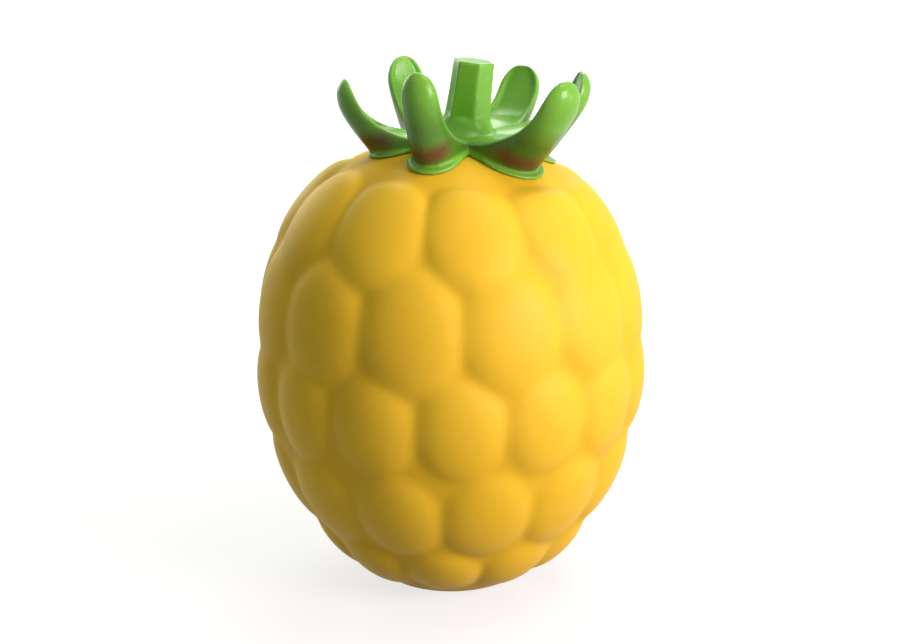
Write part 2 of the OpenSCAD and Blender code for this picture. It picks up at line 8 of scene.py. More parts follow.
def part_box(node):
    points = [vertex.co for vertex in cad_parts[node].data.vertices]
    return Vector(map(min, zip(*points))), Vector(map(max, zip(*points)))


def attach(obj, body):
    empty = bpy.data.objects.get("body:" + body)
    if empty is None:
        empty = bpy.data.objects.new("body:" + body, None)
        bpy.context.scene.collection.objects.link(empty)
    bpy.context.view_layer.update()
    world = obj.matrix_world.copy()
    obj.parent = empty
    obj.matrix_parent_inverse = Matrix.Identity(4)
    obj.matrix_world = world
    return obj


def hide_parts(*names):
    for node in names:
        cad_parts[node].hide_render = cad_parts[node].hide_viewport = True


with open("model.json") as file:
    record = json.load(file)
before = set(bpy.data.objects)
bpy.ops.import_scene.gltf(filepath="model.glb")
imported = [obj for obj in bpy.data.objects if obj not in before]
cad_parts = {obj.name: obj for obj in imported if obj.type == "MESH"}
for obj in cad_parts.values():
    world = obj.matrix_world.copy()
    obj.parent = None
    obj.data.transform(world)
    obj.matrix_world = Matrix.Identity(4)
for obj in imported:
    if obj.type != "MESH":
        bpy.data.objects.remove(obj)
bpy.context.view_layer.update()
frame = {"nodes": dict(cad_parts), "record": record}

MM = 0.001

# Body sizes, as in the part's source
CORE_R = 87.8 * MM
BELLY_Z = 104 * MM
DOME_Z = 209 * MM
DOME_RISE = 105 * MM
FOOT_DROP = 114.23 * MM
DOME_SQUARE = 2.42
FOOT_SQUARE = 1.82
FOOT_Z = 1 * MM
WALL = 3 * MM
MOUTH_R = 26.85 * MM
SEAT_Z = 204.17 * MM
SEAT_R = 23 * MM
BUMP_RISE = 3.7 * MM
BUMP_SINK = 6.5 * MM
BUMP_COVER = 1.12
FOOT_ROUND = 1.2 * MM

# Rows of bumps: latitude from the belly, count, turn of the first one, half height, fullness
BUMP_ROWS = (
    (49, 10, 9, 28, 0.9),
    (23.5, 12, 18.5, 30, 1.0),
    (-3, 14, 2.7, 27, 1.0),
    (-33, 12, 11.5, 28, 1.0),
    (-57, 10, -4.6, 22, 1.0),
)

# Crown sizes; the bumps fade out over a band around its reach
CROWN_X = 8 * MM
CROWN_REACH = 47 * MM
BUMP_FADE = 9 * MM
LEAF_T = 14 * MM
LEAF_SEAT = 0.6 * MM
SKIRT_T = 1.5 * MM
SKIRT_SEAT = 0.2 * MM
SKIRT_REACH = 2 * MM
STALK_LEAN = math.radians(7.5)
STALK_SEAT = 1.1 * MM
SPIGOT_R = 8 * MM
SPIGOT_GAP = 0.15 * MM

# A leaf before it is curled: its length, and the shares of it below the rounded tip and in it
LEAF_BLANK = 60 * MM
TIP_START, TIP_SHARE = 0.78, 0.22

# Height and radius of each ring up the stalk, and of the flare around its foot, in millimetres
STALK_RINGS = ((0, 11.4), (8, 11), (22, 10), (36, 9.5))
FLARE_RINGS = (
    (-1, 24), (0.3, 22), (1.2, 19), (2.4, 16.4), (4, 14.2), (6.4, 12.2), (10, 10.6), (13, 8),
)

# Painted reflection of the orange body, a dark red-brown low on the leaves' backs: height above the dome, how
# far it spreads, and the radius where it starts
BODY_REFLECTION_LIFT = 8 * MM
BODY_REFLECTION_SPREAD = 6 * MM
BODY_REFLECTION_START = 34 * MM

# Darker spray on the leaves' backs, partly painted shade that is heaviest on the crown's shaded side: where
# it starts, its lowest and highest points, and its heaviest side
SHADE_SPRAY_START = 22 * MM
SHADE_SPRAY_FOOT = 2.5 * MM
SHADE_SPRAY_TOP = 38 * MM
SHADE_SPRAY_FADE = 16 * MM
SHADE_SPRAY_SIDE = math.radians(313)

# Leaves: compass angle, root radius, tip radius, tip height above the dome, width
LEAVES = (
    (10, 40, 54, 30, 24),
    (59, 44, 55, 28, 26.5),
    (124, 44, 50, 34, 24),
    (190, 42, 53, 31, 24),
    (244, 42, 45.5, 38, 21.5),
    (313, 42, 62, 34, 28.5),
)


# Picking up pieces

def set_down():
    """Leaves edit mode and deselects everything."""
    if bpy.context.object and bpy.context.object.mode != "OBJECT":
        bpy.ops.object.mode_set(mode="OBJECT")
    bpy.ops.object.select_all(action="DESELECT")


def take_up(piece, *others):
    """Selects these pieces alone, the first one active."""
    set_down()
    for one in (piece, *others):
        one.select_set(True)
    bpy.context.view_layer.objects.active = piece


def pick(piece, rule, kind="VERT"):
    """Opens a piece in edit mode with only the vertices, edges or faces that a rule picks."""
    take_up(piece)
    bpy.ops.object.mode_set(mode="EDIT")
    bpy.ops.mesh.select_mode(type=kind)
    bpy.ops.mesh.select_all(action="DESELECT")
    bpy.ops.object.mode_set(mode="OBJECT")
    parts = {"VERT": piece.data.vertices, "EDGE": piece.data.edges, "FACE": piece.data.polygons}[kind]
    for part in parts:
        part.select = rule(part)
    bpy.ops.object.mode_set(mode="EDIT")


def settle(piece):
    """Puts a piece's place into its mesh."""
    take_up(piece)
    bpy.ops.object.transform_apply(location=True, rotation=True, scale=True)


def worked(piece, kind, **settings):
    """Adds a modifier with these settings and applies it."""
    take_up(piece)
    step = piece.modifiers.new(kind.lower(), kind)
    for key, value in settings.items():
        setattr(step, key, value)
    bpy.ops.object.modifier_apply(modifier=step.name)


def joined(pieces):
    """Joins pieces into the first one."""
    take_up(*pieces)
    bpy.ops.object.join()
    return bpy.context.object


def thrown_away(piece):
    """Deletes a piece."""
    take_up(piece)
    bpy.ops.object.delete()


def outward(piece):
    """Merges doubles and turns all faces outwards."""
    take_up(piece)
    bpy.ops.object.mode_set(mode="EDIT")
    bpy.ops.mesh.select_all(action="SELECT")
    bpy.ops.mesh.remove_doubles(threshold=1e-6)
    bpy.ops.mesh.normals_make_consistent(inside=False)
    set_down()


def copy_of(piece):
    """A copy with its own mesh."""
    take_up(piece)
    bpy.ops.object.duplicate(linked=False)
    return bpy.context.object


# Shape of the fruit

def core_reach(lat):
    """Distance from the belly's centre to the groove surface."""
    rise, square = (DOME_RISE, DOME_SQUARE) if lat > 0 else (FOOT_DROP, FOOT_SQUARE)
    level = (abs(math.cos(lat)) / CORE_R) ** square
    upright = (abs(math.sin(lat)) / rise) ** square
    return (level + upright) ** (-1 / square)


def latitude(arm):
    """Angle of an arm from the belly's centre above level."""
    return math.asin(max(-1.0, min(1.0, arm.z / arm.length)))


def core_point(lat):
    """Radius and height of the groove surface at a latitude."""
    reach = core_reach(lat)
    return reach * math.cos(lat), BELLY_Z + reach * math.sin(lat)


def dome_at(r):
    """Height of the plain dome at a radius from the axis."""
    return BELLY_Z + DOME_RISE * max(0.0, 1 - min(r / CORE_R, 1) ** DOME_SQUARE) ** (1 / DOME_SQUARE)


def bump_pile():
    """The plain egg with every bump half sunk into it, still as separate blobs."""
    set_down()
    bpy.ops.mesh.primitive_uv_sphere_add(segments=128, ring_count=96, radius=1, location=(0, 0, 0))
    egg = bpy.context.object
    for v in egg.data.vertices:
        d = v.co.normalized()
        v.co = d * core_reach(latitude(d)) + Vector((0, 0, BELLY_Z))
    blobs = [egg]
    nudge = 0.0175
    for lat_deg, count, first, half_up, fullness in BUMP_ROWS:
        lat = math.radians(lat_deg)
        r, z = core_point(lat)
        above, below = core_point(lat + nudge), core_point(lat - nudge)
        tilt = math.atan2(below[0] - above[0], above[1] - below[1])
        set_down()
        bpy.ops.mesh.primitive_uv_sphere_add(segments=64, ring_count=40, radius=1, location=(0, 0, 0))
        blob = bpy.context.object
        half = (BUMP_COVER * math.pi / count * r, BUMP_RISE * fullness + BUMP_SINK, half_up * MM)
        out = Vector((0, -math.cos(tilt), math.sin(tilt)))
        blob.matrix_world = (
            Matrix.Translation(Vector((0, -r, z)) - BUMP_SINK * out)
            @ Matrix.Rotation(-tilt, 4, "X")
            @ Matrix.Diagonal((*half, 1))
        )
        settle(blob)
        for k in range(count):
            one = copy_of(blob) if k < count - 1 else blob
            one.rotation_euler = (0, 0, math.radians(first + k * 360 / count))
            settle(one)
            blobs.append(one)
    return joined(blobs)


def fruit_body():
    """Hollow moulded body: a fine ball drawn down on to the blobs, softened, cut flat and given its wall."""
    pile = bump_pile()
    set_down()
    bpy.ops.mesh.primitive_uv_sphere_add(segments=240, ring_count=144, radius=0.15, location=(0, 0, BELLY_Z))
    body = bpy.context.object
    body.name = "fruit_body"
    settle(body)
    worked(body, "SHRINKWRAP", target=pile, wrap_method="PROJECT", use_negative_direction=True,
           use_positive_direction=False)
    thrown_away(pile)
    worked(body, "SMOOTH", factor=0.5, iterations=5)
    ease_under_crown(body)
    cut_foot(body)
    outer = len(body.data.vertices)
    worked(body, "SOLIDIFY", thickness=WALL, offset=-1, use_even_offset=True)
    for v in body.data.vertices:
        if v.index >= outer and v.co.z > SEAT_Z - 6 * MM and math.hypot(v.co.x, v.co.y) < SEAT_R:
            v.co.z = SEAT_Z
    drill(body, SPIGOT_R + SPIGOT_GAP, SEAT_Z - 2 * MM, DOME_Z + 2 * MM)
    take_up(body)
    bpy.ops.object.shade_smooth_by_angle(angle=math.radians(50))
    return body


def ease_under_crown(body):
    """Fades the bumps out where the crown sits on the plain dome."""
    for v in body.data.vertices:
        if v.co.z < BELLY_Z:
            continue
        arm = v.co - Vector((0, 0, BELLY_Z))
        core = core_reach(latitude(arm))
        away = math.hypot(v.co.x - CROWN_X, v.co.y) - CROWN_REACH
        t = min(1, max(0, away / BUMP_FADE))
        share = t * t * (3 - 2 * t)
        v.co = Vector((0, 0, BELLY_Z)) + arm.normalized() * (core + (arm.length - core) * share)


def cut_foot(body):
    """Cuts the bottom flat and closes it in to the round mouth."""
    take_up(body)
    bpy.ops.object.mode_set(mode="EDIT")
    bpy.ops.mesh.select_all(action="SELECT")
    bpy.ops.mesh.bisect(plane_co=(0, 0, FOOT_Z), plane_no=(0, 0, 1), clear_inner=True)
    bpy.ops.mesh.extrude_region_move(TRANSFORM_OT_translate={"value": (0, 0, 0)})
    bpy.ops.object.mode_set(mode="OBJECT")
    for v in body.data.vertices:
        if v.select:
            level = Vector((v.co.x, v.co.y, 0)).normalized() * MOUTH_R
            v.co = Vector((level.x, level.y, FOOT_Z))
    verts = body.data.vertices

    def outer_foot(edge):
        ends = [verts[i].co for i in edge.vertices]
        return all(abs(e.z - FOOT_Z) < 1e-5 and math.hypot(e.x, e.y) > MOUTH_R + 2 * MM for e in ends)

    pick(body, outer_foot, "EDGE")
    bpy.ops.mesh.bevel(offset=FOOT_ROUND, segments=3, affect="EDGES")
    set_down()


def drill(piece, r, low, high):
    """Drills an upright round hole on the crown's axis."""
    set_down()
    bpy.ops.mesh.primitive_cylinder_add(vertices=64, radius=r, depth=high - low,
                                        location=(CROWN_X, 0, (low + high) / 2))
    bit = bpy.context.object
    settle(bit)
    worked(piece, "BOOLEAN", object=bit, operation="DIFFERENCE", solver="EXACT")
    thrown_away(bit)


# Shape of the crown

def leaf_width(s):
    """Half width at a share of the length, for a leaf 1 wide."""
    return 0.5 * (0.8 + 0.26 * root_swell(s)) * tip_round(s)


def leaf_depth(s):
    """Half thickness at a share of the length."""
    return LEAF_T * (0.52 + 0.9 * root_swell(s)) * tip_round(s)


def root_swell(s):
    """Share by which the leaf swells: 1 at the root, nearly 0 at the tip."""
    return 1 / (1 + (s / 0.5) ** 6)


def tip_round(s):
    """Share that is left of the width where the tip rounds off."""
    return 1.0 if s < TIP_START else math.sqrt(max(0.0, 1 - ((s - TIP_START) / TIP_SHARE) ** 2.3))


def straight_leaf():
    """One leaf before it is curled: along X from root to tip, its flat side towards +Y."""
    set_down()
    bpy.ops.mesh.primitive_circle_add(vertices=40, radius=1, fill_type="NGON", rotation=(0, math.pi / 2, 0))
    leaf = bpy.context.object
    settle(leaf)
    pick(leaf, lambda v: v.co.y > 1e-6)
    bpy.ops.transform.resize(value=(1, 0.126, 1), center_override=(0, 0, 0))
    pick(leaf, lambda v: True)
    bpy.ops.transform.resize(value=(1, leaf_depth(0), leaf_width(0)), center_override=(0, 0, 0))
    stops = [TIP_START * i / 16 for i in range(17)]
    stops += [TIP_START + TIP_SHARE * math.sin(math.radians(a)) for a in range(9, 90, 9)]
    for near, far in zip(stops, stops[1:]):
        grown = (1, leaf_depth(far) / leaf_depth(near), leaf_width(far) / leaf_width(near))
        bpy.ops.mesh.extrude_region_move(TRANSFORM_OT_translate={"value": ((far - near) * LEAF_BLANK, 0, 0)})
        bpy.ops.transform.resize(value=grown, center_override=(far * LEAF_BLANK, 0, 0))
    bpy.ops.mesh.extrude_region_move(TRANSFORM_OT_translate={"value": ((1 - stops[-1]) * LEAF_BLANK, 0, 0)})
    bpy.ops.mesh.merge(type="CENTER")
    set_down()
    hollow_out(leaf)
    return leaf


def hollow_out(leaf):
    """Dishes the flat side of a straight leaf, from its middle up to its tip."""
    for v in leaf.data.vertices:
        s = v.co.x / LEAF_BLANK
        depth = leaf_depth(s)
        if v.co.y > 0.02 * depth and abs(v.co.z) < 0.8 * leaf_width(s):
            t = min(1.0, max(0.0, (s - 0.35) / 0.3))
            v.co.y -= 0.22 * depth * t * t * (3 - 2 * t)


def curled_leaf(blank, spec):
    """A copy of the straight leaf that runs out over the dome and turns up to its tip."""
    angle, (root, tip, top, width) = spec[0], (size * MM for size in spec[1:])
    line = ((5.5 * MM, 2 * MM), (root * 0.77, 0.5 * MM), (tip - 3 * MM, top * 0.36), (tip, top))
    set_down()
    bpy.ops.curve.primitive_bezier_curve_add(location=(0, 0, 0))
    spine = bpy.context.object
    spine.data.dimensions = "2D"
    spine.data.resolution_u = 64
    spine.data.use_stretch = True
    spine.data.use_deform_bounds = True
    first, last = spine.data.splines[0].bezier_points
    for point in (first, last):
        point.handle_left_type = point.handle_right_type = "FREE"
    first.co, first.handle_right = (*line[0], 0), (*line[1], 0)
    first.handle_left = (2 * line[0][0] - line[1][0], 2 * line[0][1] - line[1][1], 0)
    last.handle_left, last.co = (*line[2], 0), (*line[3], 0)
    last.handle_right = (2 * line[3][0] - line[2][0], 2 * line[3][1] - line[2][1], 0)
    leaf = copy_of(blank)
    leaf.scale = (1, 1, width)
    settle(leaf)
    worked(leaf, "CURVE", object=spine, deform_axis="POS_X")
    thrown_away(spine)
    leaf.rotation_euler = (math.pi / 2, 0, math.radians(angle))
    leaf.location = (CROWN_X, 0, DOME_Z)
    settle(leaf)
    for v in leaf.data.vertices:
        v.co.z = max(v.co.z, dome_at(math.hypot(v.co.x, v.co.y)) + LEAF_SEAT)
    return leaf


def skirt_lobe(spec):
    """Thin lip that lies on the dome under one leaf."""
    angle, root = math.radians(spec[0]), spec[1] * MM
    lobe_r = spec[4] * MM / 2 + SKIRT_REACH / 2
    end = root + SKIRT_REACH
    straight = 0.55
    set_down()
    bpy.ops.mesh.primitive_grid_add(x_subdivisions=48, y_subdivisions=28, size=2, location=(0, 0, 0))
    lobe = bpy.context.object
    for v in lobe.data.vertices:
        along, side = (v.co.x + 1) / 2, v.co.y
        if along < straight:
            r = (end - lobe_r) * along / straight
            half = lobe_r
        else:
            turn = (along - straight) / (1 - straight) * math.pi / 2
            r = end - lobe_r + lobe_r * math.sin(turn)
            half = lobe_r * max(0.02, math.cos(turn))
        x = CROWN_X + r * math.cos(angle) - side * half * math.sin(angle)
        y = r * math.sin(angle) + side * half * math.cos(angle)
        v.co = (x, y, dome_at(math.hypot(x, y)) + SKIRT_SEAT)
    outward(lobe)
    worked(lobe, "SOLIDIFY", thickness=SKIRT_T, offset=1)
    return lobe


def ringed(corners, steps):
    """A post drawn up from its foot: each step gives a height and a radius."""
    set_down()
    foot, r = steps[0]
    bpy.ops.mesh.primitive_circle_add(vertices=corners, radius=r, fill_type="NGON", location=(0, 0, foot))
    post = bpy.context.object
    settle(post)
    bpy.ops.object.mode_set(mode="EDIT")
    bpy.ops.mesh.select_all(action="SELECT")
    for (low, near), (high, far) in zip(steps, steps[1:]):
        bpy.ops.mesh.extrude_region_move(TRANSFORM_OT_translate={"value": (0, 0, high - low)})
        bpy.ops.transform.resize(value=(far / near, far / near, 1), center_override=(0, 0, high))
    set_down()
    outward(post)
    return post


def stalk():
    """Cut hexagonal stalk that flares out into the web."""
    post = ringed(6, [(h * MM, r * MM) for h, r in STALK_RINGS])
    post.rotation_euler = (0, 0, math.radians(15))
    settle(post)
    flare = ringed(48, [(h * MM, r * MM) for h, r in FLARE_RINGS])
    post = joined([post, flare])
    post.rotation_euler = (0, STALK_LEAN, 0)
    post.location = (CROWN_X, 0, DOME_Z + STALK_SEAT)
    settle(post)
    return post


def leaf_crown():
    """Crown in one moulding: leaves, lips, flared stalk and the spigot under it."""
    blank = straight_leaf()
    parts = [curled_leaf(blank, spec) for spec in LEAVES] + [skirt_lobe(spec) for spec in LEAVES]
    thrown_away(blank)
    parts.append(stalk())
    spigot = ringed(64, ((SEAT_Z, SPIGOT_R), (DOME_Z + 1 * MM, SPIGOT_R)))
    spigot.location = (CROWN_X, 0, 0)
    settle(spigot)
    parts.append(spigot)
    for part in parts:
        outward(part)
    crown = joined(parts)
    crown.name = "leafy_crown"
    worked(crown, "REMESH", mode="VOXEL", voxel_size=0.6 * MM)
    worked(crown, "SMOOTH", factor=0.5, iterations=7)
    take_up(crown)
    bpy.ops.object.shade_smooth()
    return crown


def groove_share(v):
    """How deep a point lies between the bumps, from 0 on a bump to 1 in a groove."""
    arm = v.co - Vector((0, 0, BELLY_Z))
    return 1 - (arm.length - core_reach(latitude(arm))) / (0.8 * BUMP_RISE)


def body_reflection_share(v):
    """Share of the painted reflection of the orange body: low on the backs of the leaves, just above their
    lips.
    """
    r = math.hypot(v.co.x - CROWN_X, v.co.y)
    lift = v.co.z - dome_at(math.hypot(v.co.x, v.co.y))
    near = min(1.0, 1.25 - abs(lift - BODY_REFLECTION_LIFT) / BODY_REFLECTION_SPREAD)
    return near * min(1.0, max(0.0, (r - BODY_REFLECTION_START) / BODY_REFLECTION_SPREAD))


def back_share(v):
    """Share of the darker spray on the backs of the leaves, which fades towards their tips; partly painted
    shade, heaviest on the side where the crown lies in shade.
    """
    out = Vector((v.co.x - CROWN_X, v.co.y, 0))
    lift = v.co.z - dome_at(math.hypot(v.co.x, v.co.y))
    facing = (v.normal.dot(out.normalized()) + 0.1) / 0.5 if out.length > SHADE_SPRAY_START else 0.0
    above_lip = min(1.0, max(0.0, (lift - SHADE_SPRAY_FOOT) / (2 * MM)))
    below_tip = min(1.0, (SHADE_SPRAY_TOP - lift) / SHADE_SPRAY_FADE)
    # Painted shade: the spray is heaviest on the leaves on the crown's shaded side
    heavy = 0.65 + 0.35 * math.cos(math.atan2(out.y, out.x) - SHADE_SPRAY_SIDE)
    return min(1.0, max(0.0, facing)) * below_tip * above_lip * heavy


def edge_share(piece):
    """A rule for marking edges: how sharply the surface turns at a vertex."""
    sums = [0.0] * len(piece.data.vertices)
    ends = piece.data.vertices
    for edge in piece.data.edges:
        a, b = (ends[i] for i in edge.vertices)
        bend = (a.normal - b.normal).dot((a.co - b.co).normalized())
        sums[a.index] += bend
        sums[b.index] += bend
    return lambda v: sums[v.index] / 1.6


# Finishes

def knot(tree, kind, inputs=None, **settings):
    """Adds a shader node, sets its options, and sets or joins its inputs."""
    made = tree.nodes.new("ShaderNode" + kind)
    for key, value in settings.items():
        setattr(made, key, value)
    for key, value in (inputs or {}).items():
        join(tree, value, made.inputs[key])
    return made


def join(tree, value, socket):
    """Links a socket's value in, or sets it where the value is plain."""
    if isinstance(value, bpy.types.NodeSocket):
        tree.links.new(value, socket)
    elif socket.type == "RGBA":
        socket.default_value = (*value[:3], 1)
    else:
        socket.default_value = value


def blended(tree, share, first, second):
    """Colour that goes from the first to the second."""
    return knot(tree, "Mix", {0: share, 6: first, 7: second}, data_type="RGBA").outputs[2]


def ranged(tree, value, low, high, to_low, to_high):
    """Value taken from one range to another, and kept inside it."""
    ends = {"Value": value, "From Min": low, "From Max": high, "To Min": to_low, "To Max": to_high}
    return knot(tree, "MapRange", ends).outputs["Result"]


def speckle(tree, size, detail=2.0, offset=(0, 0, 0)):
    """Soft noise whose patches are about this many metres across."""
    place = knot(tree, "TexCoord").outputs["Object"]
    moved = knot(tree, "Mapping", {"Vector": place, "Location": offset}).outputs["Vector"]
    scale = knot(tree, "Math", {0: 1.0, 1: size}, operation="DIVIDE").outputs[0]
    return knot(tree, "TexNoise", {"Vector": moved, "Scale": scale, "Detail": detail}).outputs["Fac"]


def effect(name, inputs, outputs):
    """Starts a node group with these named sockets."""
    group = bpy.data.node_groups.new(name, "ShaderNodeTree")
    for socket, kind, value in inputs:
        made = group.interface.new_socket(socket, in_out="INPUT", socket_type="NodeSocket" + kind)
        made.default_value = (*value, 1) if kind == "Color" else value
    for socket, kind in outputs:
        group.interface.new_socket(socket, in_out="OUTPUT", socket_type="NodeSocket" + kind)
    return group, group.nodes.new("NodeGroupInput"), group.nodes.new("NodeGroupOutput")


def moulded_skin():
    """Cloudy colour, uneven gloss and fine grain of a moulded surface."""
    group, given, put = effect(
        "moulded skin",
        (("Color", "Color", (1, 1, 1)), ("Cloud Color", "Color", (1, 1, 1)), ("Cloud Size", "Float", 0.05),
         ("Roughness", "Float", 0.5), ("Gloss Spread", "Float", 0.1), ("Grain Size", "Float", 0.001)),
        (("Color", "Color"), ("Roughness", "Float"), ("Height", "Float")))
    cloud = ranged(group, speckle(group, given.outputs["Cloud Size"], 4), 0.32, 0.68, 0, 1)
    color = blended(group, cloud, given.outputs["Color"], given.outputs["Cloud Color"])
    smear = speckle(group, given.outputs["Cloud Size"], 3, (0.3, 0.1, 0.2))
    spread = knot(group, "Math", {0: smear, 1: given.outputs["Gloss Spread"], 2: given.outputs["Roughness"]},
                  operation="MULTIPLY_ADD").outputs[0]
    grain = speckle(group, given.outputs["Grain Size"], 3)
    join(group, color, put.inputs["Color"])
    join(group, spread, put.inputs["Roughness"])
    join(group, grain, put.inputs["Height"])
    return group


def rubbed_edges():
    """Colour that rubs paler along the edges marked on the mesh, in a broken line."""
    group, given, put = effect(
        "rubbed edges",
        (("Color", "Color", (1, 1, 1)), ("Rubbed Color", "Color", (1, 1, 1)), ("Amount", "Float", 0.5)),
        (("Color", "Color"), ("Mask", "Float")))
    edge = knot(group, "Attribute", attribute_name="edge").outputs["Fac"]
    broken = ranged(group, speckle(group, 0.006, 3), 0.35, 0.7, 0.35, 1)
    rubbed = knot(group, "Math", {0: edge, 1: broken}, operation="MULTIPLY").outputs[0]
    share = knot(group, "Math", {0: rubbed, 1: given.outputs["Amount"]}, operation="MULTIPLY").outputs[0]
    color = blended(group, share, given.outputs["Color"], given.outputs["Rubbed Color"])
    join(group, color, put.inputs["Color"])
    join(group, rubbed, put.inputs["Mask"])
    return group


MOULDED_SKIN = moulded_skin()
RUBBED_EDGES = rubbed_edges()


def placed(tree, group, **inputs):
    """Places an effect in a material with its own values."""
    made = tree.nodes.new("ShaderNodeGroup")
    made.node_tree = group
    for key, value in inputs.items():
        join(tree, value, made.inputs[socket_name(key)])
    return made.outputs


def socket_name(key):
    """A socket's name in Blender, from a plain keyword."""
    return " ".join(word if word.isupper() else word.title() for word in key.split("_"))


def finish_of(name, **sockets):
    """Starts a material, with the plain values of its shader, named as in Blender."""
    finish = bpy.data.materials.new(name)
    finish.use_nodes = True
    shader = finish.node_tree.nodes["Principled BSDF"]
    for key, value in sockets.items():
        join(finish.node_tree, value, shader.inputs[socket_name(key)])
    return finish, finish.node_tree, shader


def raised(tree, shader, height, depth, strength=1.0):
    """Gives the shader a bump of this height in metres."""
    bump = knot(tree, "Bump", {"Height": height, "Distance": depth, "Strength": strength})
    join(tree, bump.outputs["Normal"], shader.inputs["Normal"])


def yellow_vinyl():
    """Matt yellow vinyl, with painted shade darkening its grooves and a duller gloss there, rubbed smooth on
    the bumps.
    """
    finish, tree, shader = finish_of("yellow vinyl", specular_IOR_level=0.2)
    skin = placed(tree, MOULDED_SKIN, color=(0.80, 0.515, 0.026), cloud_color=(0.76, 0.48, 0.02),
                  cloud_size=0.05, roughness=0.46, gloss_spread=0.12, grain_size=0.0009)
    groove = knot(tree, "Attribute", attribute_name="groove").outputs["Fac"]
    # Painted shade: the grooves between the bumps are darkened towards a deeper brown-yellow
    deep = blended(tree, ranged(tree, groove, 0.35, 1, 0, 0.3), skin["Color"], (0.66, 0.39, 0.006))
    edged = placed(tree, RUBBED_EDGES, color=deep, rubbed_color=(0.88, 0.60, 0.12), amount=0.35)
    join(tree, edged["Color"], shader.inputs["Base Color"])
    dull = ranged(tree, groove, 0.2, 1, 0, 0.08)
    rough = knot(tree, "Math", {0: skin["Roughness"], 1: dull}, operation="ADD").outputs[0]
    join(tree, rough, shader.inputs["Roughness"])
    raised(tree, shader, skin["Height"], 0.00006)
    return finish


def green_vinyl():
    """Glossy green vinyl with paler leaf edges, a darker spray on the leaves' backs that is partly painted
    shade, and a brown-red painted reflection of the orange body low on those backs.
    """
    finish, tree, shader = finish_of("green vinyl", specular_IOR_level=0.28)
    skin = placed(tree, MOULDED_SKIN, color=(0.17, 0.45, 0.035), cloud_color=(0.14, 0.39, 0.026),
                  cloud_size=0.02, roughness=0.22, gloss_spread=0.1, grain_size=0.004)
    # Darker spray on the leaves' backs, partly painted shade
    back = knot(tree, "Attribute", attribute_name="back").outputs["Fac"]
    sprayed_and_shaded = blended(tree, ranged(tree, back, 0, 1, 0, 0.88), skin["Color"], (0.045, 0.12, 0.011))
    # Painted reflection of the orange body: dark red-brown low on the leaves' backs
    painted_reflection = knot(tree, "Attribute", attribute_name="painted_reflection").outputs["Fac"]
    broken = ranged(tree, speckle(tree, 0.012, 3), 0.3, 0.65, 0.6, 1)
    share = knot(tree, "Math", {0: painted_reflection, 1: broken}, operation="MULTIPLY").outputs[0]
    body_reflected = blended(tree, share, sprayed_and_shaded, (0.12, 0.022, 0.018))
    edged = placed(tree, RUBBED_EDGES, color=body_reflected, rubbed_color=(0.26, 0.56, 0.09), amount=0.7)
    join(tree, edged["Color"], shader.inputs["Base Color"])
    join(tree, skin["Roughness"], shader.inputs["Roughness"])
    raised(tree, shader, skin["Height"], 0.00012)
    return finish


def wear(piece, finish):
    """Puts one finish on a whole piece."""
    piece.data.materials.clear()
    piece.data.materials.append(finish)


def mark(piece, name, rule):
    """Marks each vertex with a share from 0 to 1, which a finish reads."""
    layer = piece.data.attributes.new(name, "FLOAT", "POINT")
    layer.data.foreach_set("value", [min(1.0, max(0.0, rule(v))) for v in piece.data.vertices])


def moulded(name, color, cloud, rough, rubbed, rub=0.5, grain=0.0006, depth=0.00004, **sockets):
    """Moulded plastic or rubber: cloudy colour, uneven gloss, fine grain and rubbed edges."""
    finish, tree, shader = finish_of(name, **sockets)
    skin = placed(tree, MOULDED_SKIN, color=color, cloud_color=cloud, cloud_size=0.012,
                  roughness=rough, gloss_spread=0.14, grain_size=grain)
    edged = placed(tree, RUBBED_EDGES, color=skin["Color"], rubbed_color=rubbed, amount=rub)
    join(tree, edged["Color"], shader.inputs["Base Color"])
    join(tree, skin["Roughness"], shader.inputs["Roughness"])
    raised(tree, shader, skin["Height"], depth)
    return finish


def brushed(name, color, dark, rough):
    """Plated metal with fine scratches, duller in patches and brighter along its edges."""
    finish, tree, shader = finish_of(name, metallic=1.0)
    place = knot(tree, "TexCoord").outputs["Object"]
    drawn = knot(tree, "Mapping", {"Vector": place, "Scale": (3000, 3000, 250)}).outputs["Vector"]
    scratch = knot(tree, "TexNoise", {"Vector": drawn, "Scale": 1.0, "Detail": 3.0}).outputs["Fac"]
    skin = placed(tree, MOULDED_SKIN, color=color, cloud_color=dark, cloud_size=0.005,
                  roughness=rough, gloss_spread=0.2, grain_size=0.0004)
    edged = placed(tree, RUBBED_EDGES, color=skin["Color"], rubbed_color=(0.9, 0.88, 0.84), amount=0.6)
    join(tree, edged["Color"], shader.inputs["Base Color"])
    join(tree, skin["Roughness"], shader.inputs["Roughness"])
    raised(tree, shader, scratch, 0.00002)
    return finish


def circuit_board(name, mask, trace):
    """Board under its lacquer, with the tracks showing through as slightly raised lines."""
    finish, tree, shader = finish_of(name)
    place = knot(tree, "TexCoord").outputs["Object"]
    tracks = {"Vector": place, "Scale": 260.0, "Mortar Size": 0.09, "Mortar Smooth": 0.2}
    line = knot(tree, "TexBrick", tracks).outputs["Fac"]
    skin = placed(tree, MOULDED_SKIN, color=mask, cloud_color=[0.85 * c for c in mask], cloud_size=0.008,
                  roughness=0.3, gloss_spread=0.1, grain_size=0.0005)
    lined = blended(tree, ranged(tree, line, 0, 1, 0, 0.5), skin["Color"], trace)
    edged = placed(tree, RUBBED_EDGES, color=lined, rubbed_color=(0.75, 0.68, 0.45), amount=0.7)
    join(tree, edged["Color"], shader.inputs["Base Color"])
    join(tree, skin["Roughness"], shader.inputs["Roughness"])
    raised(tree, shader, line, 0.00004)
    return finish


